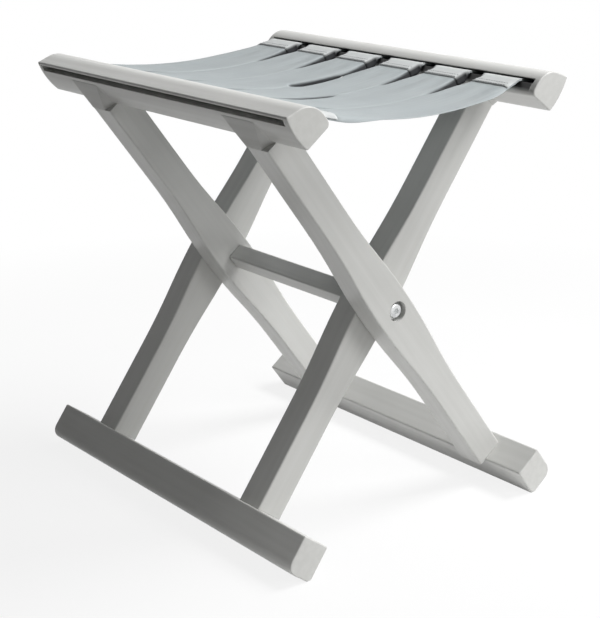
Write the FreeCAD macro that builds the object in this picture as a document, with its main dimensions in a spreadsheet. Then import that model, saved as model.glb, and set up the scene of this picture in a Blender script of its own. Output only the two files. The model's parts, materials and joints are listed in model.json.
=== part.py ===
import FreeCAD, Part
import math
import os

import Sketcher
from FreeCAD import Placement, Rotation, Vector

# Folding stool: two wooden frames crossed like scissors, one the other's copy turned half round about the
# vertical, but with a longer foot. They are joined on a pivot axis along Y, with a seat of six straps from
# rail to rail.
# Millimetres, Z up, origin on the floor under the middle of the stool.

doc = FreeCAD.newDocument("folding_stool")
sizes = doc.addObject("Spreadsheet::Sheet", "sizes")

# Lengths along a leg are measured from the pivot, sizes across a leg from its middle line.
VALUES = {
    "lean_deg": 36.65,
    "leg_wide": 31.6,
    "leg_waist": 42.7,
    "leg_waist_reach": 125.0,
    "leg_set_out": 2.5,
    "leg_thick": 30.2,
    "leg_edge_round": 1.6,
    "inner_clear": 191.8,
    "side_gap": 1.2,
    "rail_reach": 231.5,
    "rail_high": 38.0,
    "rail_wide": 32.0,
    "rail_set_out": 7.5,
    "rail_long": 410.0,
    "rail_set_along": 4.0,
    "rail_top_fall": 8.6,
    "rail_crown_round": 25.0,
    "rail_belly_round": 5.0,
    "rail_heel_round": 2.4,
    "rail_back_bow": 2.5,
    "lug_high": 25.0,
    "lug_mitre": 9.0,
    "lug_flare": 25.0,
    "lug_edge": 1.0,
    "foot_reach": 226.4,
    "foot_high": 36.4,
    "foot_wide": 33.0,
    "foot_set_out": 10.8,
    "foot_long": 411.0,
    "b_foot_more": 9.5,
    "foot_toe_round": 11.0,
    "foot_tread_cut": 2.2,
    "corner_round": 1.6,
    "end_round": 1.2,
    "tenon_long": 14.0,
    "tenon_wide": 13.0,
    "tenon_thick": 12.0,
    "tenon_play": 0.1,
    "slot_inner_rise": 12.5,
    "slot_outer_rise": 31.6,
    "groove_deep": 15.0,
    "slot_end": 6.0,
    "mouth_deep": 5.0,
    "mouth_flare": 6.0,
    "strap_count": 6.0,
    "strap_gap": 1.2,
    "strap_set_along": 2.5,
    "strap_thick": 1.1,
    "strap_play": 0.3,
    "neck_inset": 1.0,
    "neck_taper": 46.0,
    "strap_bend": 10.0,
    "strap_droop_deg": 14.8,
    "hem_long": 16.5,
    "rod_across": 2.6,
    "bar_wide": 19.0,
    "bar_high": 18.0,
    "bar_edge_round": 1.5,
    "bolt_across": 8.0,
    "bolt_play": 0.06,
    "bolt_grip": 18.0,
    "head_across": 15.0,
    "head_high": 4.6,
    "head_dome": 2.2,
    "socket_across": 5.0,
    "socket_deep": 2.6,
    "sink_across": 20.0,
    "sink_deep": 7.6,
    "washer_thick": 1.0,
    "washer_across": 18.0,
    "insert_across": 12.0,
    "insert_long": 22.0,
    "seat_play": 0.1,
}
for row, (alias, value) in enumerate(VALUES.items(), start=1):
    sizes.set(f"A{row}", alias)
    sizes.set(f"B{row}", repr(value))
    sizes.setAlias(f"B{row}", alias)
doc.recompute()


def size(alias):
    """The value of one driving dimension, read from the sheet."""
    return float(sizes.get(alias))


lean = math.radians(size("lean_deg"))

# The pivot's height puts the foot's tread, a narrow flat planed on its lower corner, on the floor.
pivot_z = (
    (size("foot_reach") + size("foot_high")) * math.cos(lean)
    + size("foot_set_out") * math.sin(lean)
    - size("foot_tread_cut")
)

# Faces of the legs along Y on one side of the stool, from the middle outwards.
inner_face = size("inner_clear") / 2
inner_back = inner_face + size("leg_thick")
outer_back = inner_back + size("side_gap")
outer_face = outer_back + size("leg_thick")

# The middles of the legs along Y, as expressions of the sheet's cells.
INNER_MIDDLE = "(sizes.inner_clear + sizes.leg_thick) / 2"
OUTER_MIDDLE = "(sizes.inner_clear / 2 + sizes.leg_thick * 1.5 + sizes.side_gap)"


def frame_placement(turned, y):
    """Places a piece drawn in a frame's own plane: its X across the leg, its Y up the leg, its Z along
    the pivot axis. Frame B is frame A turned half round about the vertical."""
    upright = Rotation(Vector(1, 0, 0), 90)
    leaning = Rotation(Vector(0, 1, 0), -size("lean_deg"))
    placed = Placement(Vector(0, y, pivot_z), leaning.multiply(upright))
    if turned:
        placed = Placement(Vector(0, 0, 0), Rotation(Vector(0, 0, 1), 180)).multiply(placed)
    return placed


def to_floor_frame(across, along):
    """A point of frame A's plane as X and Z of the stool."""
    x = -along * math.sin(lean) + across * math.cos(lean)
    z = pivot_z + along * math.cos(lean) + across * math.sin(lean)
    return Vector(x, 0, z)


def new_body(label):
    body = doc.addObject("PartDesign::Body", label)
    body.Label = label
    return body


def new_sketch(body, name, lift="0"):
    """A sketch on the body's XY plane, lifted along Z by an expression."""
    sketch = body.newObject("Sketcher::SketchObject", name)
    plane = [part for part in body.Origin.OriginFeatures if part.Role == "XY_Plane"][0]
    sketch.AttachmentSupport = [(plane, "")]
    sketch.MapMode = "FlatFace"
    sketch.setExpression("AttachmentOffset.Base.z", lift)
    return sketch


def value_of(expression):
    """The number that an expression of the sheet's cells gives now."""
    return float(sizes.evalExpression(expression.replace("sizes.", "")))


def pin_point(sketch, index, position, across, along):
    """Holds a point of the sketch at two expressions of the sheet's cells."""
    for kind, expression in (("DistanceX", across), ("DistanceY", along)):
        where = sketch.addConstraint(Sketcher.Constraint(kind, index, position, value_of(expression)))
        sketch.setExpression(f"Constraints[{where}]", expression)


def near_end(sketch, index, point):
    """Which end of a sketch segment lies on a point: 1 for its start, 2 for its end."""
    start = sketch.getPoint(index, 1)
    end = sketch.getPoint(index, 2)
    return 1 if start.distanceToPoint(point) < end.distanceToPoint(point) else 2


def hold_radius(sketch, index, radius):
    """Holds the radius of an arc or circle at an expression of the sheet's cells."""
    where = sketch.addConstraint(Sketcher.Constraint("Radius", index, value_of(radius)))
    sketch.setExpression(f"Constraints[{where}]", radius)


def close_chain(sketch, sides, points, corners):
    """Joins the sides of a closed outline end to end and pins each side's first point at its corner."""
    chain = list(zip(sides, points))
    for (side, start), (following, end) in zip(chain, chain[1:] + chain[:1]):
        first = near_end(sketch, side, end)
        second = near_end(sketch, following, end)
        sketch.addConstraint(Sketcher.Constraint("Coincident", side, first, following, second))
    for (side, start), (across, along) in zip(chain, corners):
        pin_point(sketch, side, near_end(sketch, side, start), across, along)


def draw_polygon(sketch, corners, bows=None):
    """A closed polygon whose corners are pairs of expressions, given anticlockwise. The side after a
    corner bulges where bows gives, by the corner's number, expressions of its rise and its radius."""
    bows = bows or {}
    points = [Vector(value_of(across), value_of(along), 0) for across, along in corners]
    sides = []
    for number, (start, end) in enumerate(zip(points, points[1:] + points[:1])):
        if number in bows:
            outwards = Vector(end.y - start.y, start.x - end.x, 0).normalize()
            top = (start + end) / 2 + outwards * value_of(bows[number][0])
            sides.append(sketch.addGeometry(Part.Arc(start, top, end)))
        else:
            sides.append(sketch.addGeometry(Part.LineSegment(start, end)))
    close_chain(sketch, sides, points, corners)
    for number, (rise, radius) in bows.items():
        hold_radius(sketch, sides[number], radius)


def draw_rectangle(sketch, left, right, low, high):
    draw_polygon(sketch, [(left, low), (right, low), (right, high), (left, high)])


def draw_circle(sketch, radius):
    index = sketch.addGeometry(Part.Circle(Vector(0, 0, 0), Vector(0, 0, 1), value_of(radius)))
    sketch.addConstraint(Sketcher.Constraint("Coincident", index, 3, -1, 1))
    hold_radius(sketch, index, radius)


def pad(body, sketch, length):
    feature = body.newObject("PartDesign::Pad", sketch.Name + "_pad")
    feature.Profile = sketch
    feature.setExpression("Length", length)
    doc.recompute()
    return feature


def pocket(body, sketch, length):
    """Cuts upwards from the sketch, and makes sure that it does cut."""
    before = body.Shape.Volume
    feature = body.newObject("PartDesign::Pocket", sketch.Name + "_pocket")
    feature.Profile = sketch
    feature.setExpression("Length", length)
    feature.Reversed = True
    doc.recompute()
    if body.Shape.Volume >= before:
        raise RuntimeError(f"{body.Label}: {sketch.Name} cuts nothing")
    return feature


def upright_edges(shape, across, along):
    """Names of the edges that run along Z through one point of the section."""
    names = []
    for number, edge in enumerate(shape.Edges, start=1):
        ends = [vertex.Point for vertex in edge.Vertexes]
        if len(ends) == 2 and all(abs(p.x - across) + abs(p.y - along) < 1e-6 for p in ends):
            names.append(f"Edge{number}")
    return names


def fillet(body, base, names, radius):
    feature = body.newObject("PartDesign::Fillet", base.Name + "_fillet")
    feature.Base = (base, names)
    feature.setExpression("Radius", radius)
    doc.recompute()
    return feature


def round_corners(body, base, corners):
    """Rounds corners of a bar's section: each is the corner's two expressions and its radius."""
    for across, along, radius in corners:
        names = upright_edges(body.Shape, value_of(across), value_of(along))
        base = fillet(body, base, names, radius)
    return base


def tenon_middle(set_out):
    """Middle of a tenon across the leg: the middle of where leg and rail, or leg and foot, overlap."""
    return f"((sizes.leg_wide / 2 - sizes.leg_set_out - {set_out}) / 2)"


def round_ends(body, base, long):
    """Eases the edges of both end faces of a bar drawn from Z = 0 to its length."""
    names = []
    for number, edge in enumerate(body.Shape.Edges, start=1):
        box = edge.BoundBox
        at_end = abs(box.ZMin) < 1e-6 or abs(box.ZMin - value_of(long)) < 1e-6
        if at_end and box.ZLength < 1e-6:
            names.append(f"Edge{number}")
    return fillet(body, base, names, "sizes.end_round")


def leg_middles(along):
    """Where the middles of a frame's two legs lie along a rail or foot, from an expression of where the
    stool's middle lies along it."""
    return {"outer": f"({along} + {OUTER_MIDDLE})", "inner": f"({along} - {INNER_MIDDLE})"}


def cut_mortises(body, set_out, along, low, high):
    """The two mortises of a rail or foot, one for each leg of its frame."""
    half = "(sizes.tenon_wide / 2 + sizes.tenon_play)"
    thick = "(sizes.tenon_thick + 2 * sizes.tenon_play)"
    middle_line = tenon_middle(set_out)
    for name, middle in leg_middles(along).items():
        sketch = new_sketch(body, f"{body.Name}_{name}_mortise", f"{middle} - {thick} / 2")
        draw_rectangle(sketch, f"{middle_line} - {half}", f"{middle_line} + {half}", low, high)
        pocket(body, sketch, thick)


def make_leg(label, turned, outer):
    """One leg: a board with a gentle S-shaped swelling round the pivot, and a tenon at each end."""
    body = new_body(label)
    sketch = new_sketch(body, label + "_outline")
    half = "sizes.leg_wide / 2"
    waist = "sizes.leg_waist / 2"
    middle = "(sizes.leg_wide + sizes.leg_waist) / 4"
    reach = "sizes.leg_waist_reach"
    corners = [
        (half, "-sizes.foot_reach"),
        (half, f"-{reach}"),
        (middle, f"-{reach} / 2"),
        (middle, f"{reach} / 2"),
        (half, reach),
        (half, "sizes.rail_reach"),
    ]
    corners += [("-(" + across + ")", along) for across, along in reversed(corners)]
    corners = [(across + " - sizes.leg_set_out", along) for across, along in corners]
    points = [Vector(value_of(across), value_of(along), 0) for across, along in corners]
    swell = value_of(waist) - value_of(half)
    run = value_of(reach) / 2
    bow = (run**2 + (swell / 2) ** 2) / swell
    bow_expression = f"(({reach} / 2)^2 + (({waist} - {half}) / 2)^2) / ({waist} - {half})"
    segments = []
    for number, (start, end) in enumerate(zip(points, points[1:] + points[:1])):
        step = number % 6
        side = 1 if number < 6 else -1
        if step in (1, 2, 3):
            bulging = step == 2
            centre_x = value_of(waist) - bow if bulging else value_of(half) + bow
            centre_y = 0 if bulging else math.copysign(value_of(reach), start.y + end.y)
            centre = Vector(side * centre_x - size("leg_set_out"), centre_y, 0)
            nearest = centre + ((start + end) / 2 - centre).normalize() * bow
            segments.append(sketch.addGeometry(Part.Arc(start, nearest, end)))
        else:
            segments.append(sketch.addGeometry(Part.LineSegment(start, end)))
    close_chain(sketch, segments, points, corners)
    for index in segments:
        if isinstance(sketch.Geometry[index], Part.ArcOfCircle):
            hold_radius(sketch, index, bow_expression)
    board = pad(body, sketch, "sizes.leg_thick")
    long_edges = []
    for number, edge in enumerate(body.Shape.Edges, start=1):
        ends = [vertex.Point for vertex in edge.Vertexes]
        flat = abs(ends[0].z - ends[1].z) < 1e-6
        if flat and abs(ends[0].y - ends[1].y) > size("leg_wide"):
            long_edges.append(f"Edge{number}")
    fillet(body, board, long_edges, "sizes.leg_edge_round")
    shoulders = {"rail": "sizes.rail_reach", "foot": "-sizes.foot_reach"}
    for name, shoulder in shoulders.items():
        tenon = new_sketch(body, f"{label}_{name}_tenon", "(sizes.leg_thick - sizes.tenon_thick) / 2")
        middle_line = tenon_middle(f"sizes.{name}_set_out")
        left = f"{middle_line} - sizes.tenon_wide / 2"
        right = f"{middle_line} + sizes.tenon_wide / 2"
        low = f"{shoulder} - sizes.tenon_long"
        high = f"{shoulder} + sizes.tenon_long"
        draw_rectangle(tenon, left, right, low, high)
        pad(body, tenon, "sizes.tenon_thick")
    bore = new_sketch(body, label + "_bore")
    draw_circle(bore, "sizes.bolt_across / 2 + sizes.bolt_play")
    pocket(body, bore, "sizes.leg_thick")
    if outer:
        sink = new_sketch(body, label + "_sink", "sizes.leg_thick - sizes.sink_deep")
        draw_circle(sink, "sizes.sink_across / 2")
        pocket(body, sink, "sizes.sink_deep")
    body.Placement = frame_placement(turned, -outer_back if outer else inner_back)
    return body


RAIL_OUT = "-sizes.rail_set_out"
RAIL_IN = "(sizes.rail_wide - sizes.rail_set_out)"
RAIL_LOW = "sizes.rail_reach"
RAIL_TOP = "(sizes.rail_reach + sizes.rail_high)"
RAIL_BROW = "(sizes.rail_reach + sizes.rail_high - sizes.rail_top_fall)"
RAIL_MIDDLE = "(sizes.rail_long / 2 + sizes.rail_set_along)"
LEG_OUT = "-(sizes.leg_wide / 2 + sizes.leg_set_out)"
LUG_TOP = "(sizes.rail_reach + sizes.lug_high)"
LUG_SHOULDER = "-(sizes.rail_set_out + sizes.rail_back_bow)"
SLOT_TURN = "atan((sizes.slot_outer_rise - sizes.slot_inner_rise) / sizes.rail_wide)"
SLOT_HALF = "(sizes.strap_thick + sizes.strap_play)"
GROOVE_HALF = "(sizes.rod_across / 2 + sizes.strap_thick + 2 * sizes.strap_play)"


def slot_point(outwards, upwards):
    """A point of the rail's slot, by expressions of its distance outwards from the slot's inner mouth and
    its distance above the slot's middle line."""
    across = f"{RAIL_IN} - ({outwards}) * cos({SLOT_TURN}) + ({upwards}) * sin({SLOT_TURN})"
    risen = f"({outwards}) * sin({SLOT_TURN}) + ({upwards}) * cos({SLOT_TURN})"
    return across, f"sizes.rail_reach + sizes.slot_inner_rise + {risen}"


def add_lugs(body):
    """The lugs outside a rail, one over each leg. A lug leads the leg's outer face up into the rail's,
    spreads along the rail on one side of the leg, and is mitred back to the rail on the other."""
    low_edge = f"({LUG_TOP} - sizes.lug_edge)"
    for name, middle in leg_middles(RAIL_MIDDLE).items():
        near = f"({middle} + sizes.leg_thick / 2)"
        far = f"({middle} - sizes.leg_thick / 2)"
        sections = [
            (f"{far} - sizes.lug_flare", LUG_SHOULDER, low_edge, LUG_SHOULDER),
            (far, LEG_OUT, RAIL_LOW, LUG_SHOULDER),
            (f"{near} - sizes.lug_mitre", LEG_OUT, RAIL_LOW, LUG_SHOULDER),
            (near, "-sizes.rail_set_out / 2", RAIL_LOW, "-sizes.rail_set_out"),
        ]
        drawn = []
        for number, (lift, heel, low, shoulder) in enumerate(sections):
            sketch = new_sketch(body, f"{body.Name}_{name}_lug_{number}", lift)
            draw_polygon(sketch, [(heel, low), ("0", low), ("0", LUG_TOP), (shoulder, LUG_TOP)])
            drawn.append(sketch)
        loft = body.newObject("PartDesign::AdditiveLoft", f"{body.Name}_{name}_lug")
        loft.Profile = drawn[0]
        loft.Sections = drawn[1:]
        loft.Ruled = True
        doc.recompute()


def make_rail(label, turned):
    """A top rail: slightly bowed outside, with a top that falls inwards into a wide round, a lug over each
    leg and a slot for the straps that opens outside into a wider groove for their rod. The upper lip of its
    inner mouth flares, and the slot stops short of both ends."""
    body = new_body(label)
    section = new_sketch(body, label + "_section")
    outline = [(RAIL_IN, RAIL_LOW), (RAIL_IN, RAIL_BROW), (RAIL_OUT, RAIL_TOP), (RAIL_OUT, RAIL_LOW)]
    back_radius = "((sizes.rail_high / 2)^2 + sizes.rail_back_bow^2) / (2 * sizes.rail_back_bow)"
    draw_polygon(section, outline, {2: ("sizes.rail_back_bow", back_radius)})
    base = pad(body, section, "sizes.rail_long")
    base = round_corners(
        body,
        base,
        [
            (RAIL_IN, RAIL_BROW, "sizes.rail_crown_round"),
            (RAIL_IN, RAIL_LOW, "sizes.rail_belly_round"),
            (RAIL_OUT, RAIL_TOP, "sizes.corner_round"),
            (RAIL_OUT, RAIL_LOW, "sizes.rail_heel_round"),
        ],
    )
    round_ends(body, base, "sizes.rail_long")
    add_lugs(body)
    slot = new_sketch(body, label + "_slot", "sizes.slot_end")
    mouth = "-sizes.rail_wide"
    across_rail = f"(sizes.rail_wide / cos({SLOT_TURN}))"
    step = f"({across_rail} - sizes.groove_deep)"
    beyond = f"({across_rail} + sizes.groove_deep)"
    stepped = [
        (mouth, f"-{SLOT_HALF}"),
        (step, f"-{SLOT_HALF}"),
        (step, f"-{GROOVE_HALF}"),
        (beyond, f"-{GROOVE_HALF}"),
        (beyond, GROOVE_HALF),
        (step, GROOVE_HALF),
        (step, SLOT_HALF),
        ("sizes.mouth_deep", SLOT_HALF),
        ("-sizes.mouth_deep", f"({SLOT_HALF} + sizes.mouth_flare)"),
        (mouth, f"({SLOT_HALF} + sizes.mouth_flare)"),
    ]
    draw_polygon(slot, [slot_point(outwards, upwards) for outwards, upwards in stepped])
    pocket(body, slot, "sizes.rail_long - 2 * sizes.slot_end")
    mortise_low = f"{RAIL_LOW} - sizes.tenon_long"
    mortise_top = f"{RAIL_LOW} + sizes.tenon_long + sizes.tenon_play"
    cut_mortises(body, "sizes.rail_set_out", RAIL_MIDDLE, mortise_low, mortise_top)
    body.Placement = frame_placement(turned, size("rail_long") / 2 + size("rail_set_along"))
    return body


def make_foot(label, turned, long):
    """A foot rail: a bar whose lower outside corner is planed to a narrow tread, with a rounded toe. The
    stool's middle lies half the usual length from its first end, however long the foot is."""
    body = new_body(label)
    out = "-sizes.foot_set_out"
    inside = "(sizes.foot_wide - sizes.foot_set_out)"
    top = "-sizes.foot_reach"
    low = "-(sizes.foot_reach + sizes.foot_high)"
    section = new_sketch(body, label + "_section")
    draw_polygon(
        section,
        [
            (out, top),
            (out, f"{low} + sizes.foot_tread_cut / cos(sizes.lean_deg * 1deg)"),
            (f"{out} + sizes.foot_tread_cut / sin(sizes.lean_deg * 1deg)", low),
            (inside, low),
            (inside, top),
        ],
    )
    base = pad(body, section, long)
    base = round_corners(
        body,
        base,
        [
            (inside, low, "sizes.foot_toe_round"),
            (inside, top, "sizes.corner_round"),
            (out, top, "sizes.corner_round"),
        ],
    )
    round_ends(body, base, long)
    mortise_low = f"{top} - sizes.tenon_long - sizes.tenon_play"
    cut_mortises(body, "sizes.foot_set_out", "sizes.foot_long / 2", mortise_low, f"{top} + sizes.tenon_long")
    body.Placement = frame_placement(turned, size("foot_long") / 2)
    return body


def make_crossbar():
    """The bar between the inner legs, on the pivot axis, with a bore at each end for a threaded insert."""
    body = new_body("crossbar")
    section = new_sketch(body, "crossbar_section")
    draw_rectangle(
        section, "-sizes.bar_wide / 2", "sizes.bar_wide / 2", "-sizes.bar_high / 2", "sizes.bar_high / 2"
    )
    bar_long = "(sizes.inner_clear - 2 * sizes.side_gap)"
    base = pad(body, section, bar_long)
    half_wide = size("bar_wide") / 2
    half_high = size("bar_high") / 2
    edges = []
    for across in (-half_wide, half_wide):
        for along in (-half_high, half_high):
            edges += upright_edges(body.Shape, across, along)
    fillet(body, base, edges, "sizes.bar_edge_round")
    for name, lift in (("far", "0"), ("near", f"{bar_long} - sizes.insert_long")):
        bore = new_sketch(body, f"crossbar_{name}_bore", lift)
        draw_circle(bore, "sizes.insert_across / 2 + sizes.bolt_play")
        pocket(body, bore, "sizes.insert_long")
    body.Placement = frame_placement(False, inner_face - size("side_gap"))
    return body


def cylinder(name, radius, height, y):
    """A cylinder along the pivot axis, from y towards the near side."""
    shape = doc.addObject("Part::Cylinder", name)
    shape.setExpression("Radius", radius)
    shape.setExpression("Height", height)
    shape.Placement = Placement(Vector(0, y, pivot_z), Rotation(Vector(1, 0, 0), 90))
    return shape


def ring(label, outside, inside, height, y):
    """A flat ring on the pivot axis: a washer or an insert."""
    whole = cylinder(label + "_disc", outside, height, y)
    hole = cylinder(label + "_hole", inside, height, y)
    cut = doc.addObject("Part::Cut", label)
    cut.Base = whole
    cut.Tool = hole
    cut.Label = label
    return cut


BOLT_RADIUS = "sizes.bolt_across / 2"
BOLT_BORE = "sizes.bolt_across / 2 + sizes.bolt_play"
UNDER_HEAD = "(sizes.leg_thick * 2 + sizes.side_gap * 2 - sizes.sink_deep)"
SHANK_LONG = f"{UNDER_HEAD} + sizes.bolt_grip + sizes.washer_thick + sizes.seat_play"


def make_bolt(side):
    """The bolt of one side: a domed head with a hexagon socket, sunk in the outer leg, and a shank."""
    label = f"bolt_{side}"
    shank = cylinder(label + "_shank", BOLT_RADIUS, SHANK_LONG, 0)
    head = doc.addObject("Part::Cylinder", label + "_head")
    head.setExpression("Radius", "sizes.head_across / 2")
    head.setExpression("Height", "sizes.head_high")
    shank.Placement = Placement()
    head.Placement = Placement(Vector(0, 0, -size("head_high")), Rotation())
    joined = doc.addObject("Part::Fuse", label + "_blank")
    joined.Base = shank
    joined.Tool = head
    doc.recompute()
    crown = [
        number
        for number, edge in enumerate(joined.Shape.Edges, start=1)
        if edge.Closed and abs(edge.BoundBox.ZMin + size("head_high")) + edge.BoundBox.ZLength < 1e-6
    ]
    domed = doc.addObject("Part::Fillet", label + "_domed")
    domed.Base = joined
    domed.Edges = [(number, size("head_dome"), size("head_dome")) for number in crown]
    socket = doc.addObject("Part::Prism", label + "_socket")
    socket.Polygon = 6
    socket.setExpression("Circumradius", "sizes.socket_across / sqrt(3)")
    socket.setExpression("Height", "sizes.socket_deep")
    socket.Placement = Placement(Vector(0, 0, -size("head_high")), Rotation())
    bolt = doc.addObject("Part::Cut", label)
    bolt.Base = domed
    bolt.Tool = socket
    bolt.Label = label
    under_head = outer_face - size("sink_deep") + size("washer_thick") + size("seat_play")
    inwards = Rotation(Vector(1, 0, 0), -90 if side == "near" else 90)
    bolt.Placement = Placement(Vector(0, -under_head if side == "near" else under_head, pivot_z), inwards)
    return bolt


def make_pivot(side):
    """The washers and the insert of one side. Positions are for the near side, mirrored for the far."""
    thick = size("washer_thick")
    play = (size("side_gap") - thick) / 2
    spans = {
        f"bolt_washer_{side}": (outer_face - size("sink_deep") + size("seat_play"), thick),
        f"leg_washer_{side}": (inner_back + play, thick),
        f"bar_washer_{side}": (inner_face - size("side_gap") + play, thick),
        f"insert_{side}": (inner_face - size("side_gap") - size("insert_long"), size("insert_long")),
    }
    made = []
    for label, (start, long) in spans.items():
        y = -start if side == "near" else start + long
        if label.startswith("insert"):
            made.append(ring(label, "sizes.insert_across / 2", BOLT_BORE, "sizes.insert_long", y))
        else:
            made.append(ring(label, "sizes.washer_across / 2", BOLT_BORE, "sizes.washer_thick", y))
    return made


# Where the straps run, in frame A's plane: the slot's inner mouth and direction, the rod behind its step.
slot_turn = math.atan((size("slot_outer_rise") - size("slot_inner_rise")) / size("rail_wide"))
mouth_across = size("rail_wide") - size("rail_set_out")
mouth_along = size("rail_reach") + size("slot_inner_rise")
rod_distance = (
    size("rail_wide") / math.cos(slot_turn)
    - size("groove_deep")
    + size("rod_across") / 2
    + size("strap_thick")
    + 2 * size("strap_play")
)
mouth = to_floor_frame(mouth_across, mouth_along)
rise = lean - slot_turn
rod_middle = mouth - Vector(math.cos(rise), 0, math.sin(rise)) * rod_distance

# The straps share the seat's width, with a gap between neighbours. Their ends are drawn in to necks that
# fit both rails' slots, which lie a little apart along Y.
seat_long = size("rail_long") - 2 * size("slot_end") - 2 * size("strap_play")
strap_pitch = (seat_long + size("strap_gap")) / size("strap_count")
strap_wide = strap_pitch - size("strap_gap")
neck_inset = size("neck_inset") + size("rail_set_along") + size("strap_set_along")


def make_rod(label, turned):
    """The rod that keeps the straps' loops behind the step of the rail's slot."""
    rod = doc.addObject("Part::Cylinder", label)
    rod.Label = label
    rod.setExpression("Radius", "sizes.rod_across / 2")
    rod.setExpression("Height", "sizes.rail_long - 2 * sizes.slot_end - 2 * sizes.strap_play")
    x = -rod_middle.x if turned else rod_middle.x
    y = seat_long / 2 - size("rail_set_along") if turned else seat_long / 2 + size("rail_set_along")
    rod.Placement = Placement(Vector(x, y, rod_middle.z), Rotation(Vector(1, 0, 0), 90))
    return rod


# Middle line of a strap's left half, as headings: it rises out of the slot, bends over the slot's lower lip
# and then hangs in one long arc to the middle of the seat.
droop = math.radians(size("strap_droop_deg"))
lip = mouth + Vector(math.cos(rise), 0, math.sin(rise)) * size("strap_thick")
bend = size("strap_bend")
hang_start = lip + Vector(
    bend * (math.sin(rise) + math.sin(droop)), 0, bend * (math.cos(droop) - math.cos(rise))
)
hang_radius = -hang_start.x / math.sin(droop)
hang_centre = Vector(0, 0, hang_start.z + hang_radius * math.cos(droop))
bend_centre = lip + Vector(bend * math.sin(rise), 0, -bend * math.cos(rise))


def bend_point(heading, lift):
    return bend_centre + Vector(-math.sin(heading), 0, math.cos(heading)) * (bend + lift)


def hang_point(heading, lift):
    return hang_centre + Vector(math.sin(heading), 0, -math.cos(heading)) * (hang_radius - lift)


def left_edge(lift, last_heading):
    """Edges of the left half of a strap's surface, a lift above its middle line, out to a heading on the
    hanging arc."""
    start = rod_middle + Vector(-math.sin(rise), 0, math.cos(rise)) * lift
    turn = bend_point((rise - droop) / 2, lift)
    edges = [Part.LineSegment(start, bend_point(rise, lift)).toShape()]
    edges.append(Part.Arc(bend_point(rise, lift), turn, bend_point(-droop, lift)).toShape())
    halfway = hang_point((last_heading - droop) / 2, lift)
    edges.append(Part.Arc(hang_point(-droop, lift), halfway, hang_point(last_heading, lift)).toShape())
    return edges


def left_half(low, high, last_heading):
    """The solid of a strap's left half between two lifts, as wide as the strap."""
    lower = left_edge(low, last_heading)
    upper = left_edge(high, last_heading)
    ends = [
        Part.LineSegment(lower[0].Vertexes[0].Point, upper[0].Vertexes[0].Point).toShape(),
        Part.LineSegment(hang_point(last_heading, low), hang_point(last_heading, high)).toShape(),
    ]
    wire = Part.Wire(Part.__sortEdges__(lower + upper + ends))
    return Part.Face(wire).extrude(Vector(0, strap_wide, 0))


def tube(radius):
    return Part.makeCylinder(radius, strap_wide, rod_middle, Vector(0, 1, 0))


def strap_plan():
    """A strap seen from above, as a tall prism: full width in the middle of the seat, and drawn in evenly to
    a neck at each rail."""
    end = -rod_middle.x + size("groove_deep")
    neck = -hang_start.x
    full = neck - size("neck_taper")
    side = [(end, neck_inset), (neck, neck_inset), (full, 0)]
    side += [(-across, inset) for across, inset in reversed(side)]
    outline = side + [(across, strap_wide - inset) for across, inset in reversed(side)]
    corners = [Vector(across, inset, 0) for across, inset in outline]
    face = Part.Face(Part.makePolygon(corners + corners[:1]))
    return face.extrude(Vector(0, 0, 2 * rod_middle.z))


def strap_shape():
    """One strap: woven band, folded round the rods at both ends and sewn down on top of itself."""
    thick = size("strap_thick")
    hem_heading = -droop + size("hem_long") / hang_radius
    bore = size("rod_across") / 2 + size("strap_play")
    half = left_half(-thick, 0, 0).fuse([left_half(0, thick, hem_heading), tube(bore + thick)])
    half = half.cut(tube(bore)).removeSplitter()
    other = half.mirror(Vector(0, 0, 0), Vector(1, 0, 0))
    whole = half.fuse(other).removeSplitter().common(strap_plan())
    return whole.Solids[0] if len(whole.Solids) == 1 else whole


def make_straps():
    shape = strap_shape()
    straps = []
    for number in range(int(round(size("strap_count")))):
        strap = doc.addObject("Part::Feature", f"strap_{number + 1}")
        strap.Label = f"strap_{number + 1}"
        strap.Shape = shape.copy()
        y = number * strap_pitch - seat_long / 2 + size("strap_set_along")
        strap.Placement = Placement(Vector(0, y, 0), Rotation())
        straps.append(strap)
    return straps


pieces = [
    make_rail("a_top_rail", False),
    make_leg("a_outer_leg", False, True),
    make_leg("a_inner_leg", False, False),
    make_foot("a_foot", False, "sizes.foot_long"),
    make_rail("b_top_rail", True),
    make_leg("b_outer_leg", True, True),
    make_leg("b_inner_leg", True, False),
    make_foot("b_foot", True, "(sizes.foot_long + sizes.b_foot_more)"),
    make_crossbar(),
    make_bolt("near"),
    make_bolt("far"),
    make_rod("strap_rod_a", False),
    make_rod("strap_rod_b", True),
]
pieces += make_pivot("near") + make_pivot("far")
pieces += make_straps()
doc.recompute()

for item in doc.Objects:
    if "Invalid" in item.State or "Error" in item.State:
        raise RuntimeError(f"{item.Name} is {item.State}")
for piece in pieces:
    if piece.Shape.isNull() or not piece.Shape.isValid():
        raise RuntimeError(f"{piece.Label} has no valid shape")
    if len(piece.Shape.Solids) != 1:
        raise RuntimeError(f"{piece.Label} has {len(piece.Shape.Solids)} solids")

os.makedirs("parts", exist_ok=True)
for piece in pieces:
    piece.Shape.exportStep(f"parts/{piece.Label}.step")
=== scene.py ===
# %% [markdown]
# # A folding stool with a strap seat
# Two painted frames cross like scissors on a pivot bar, and six woven straps hang between their top rails.
# The wooden and metal pieces come from the CAD model as they are and only get their finishes here. The
# straps are soft, so their plain CAD solids are replaced by modelled bands.

import json

import bpy
import numpy as np
from mathutils import Matrix, Vector


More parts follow.
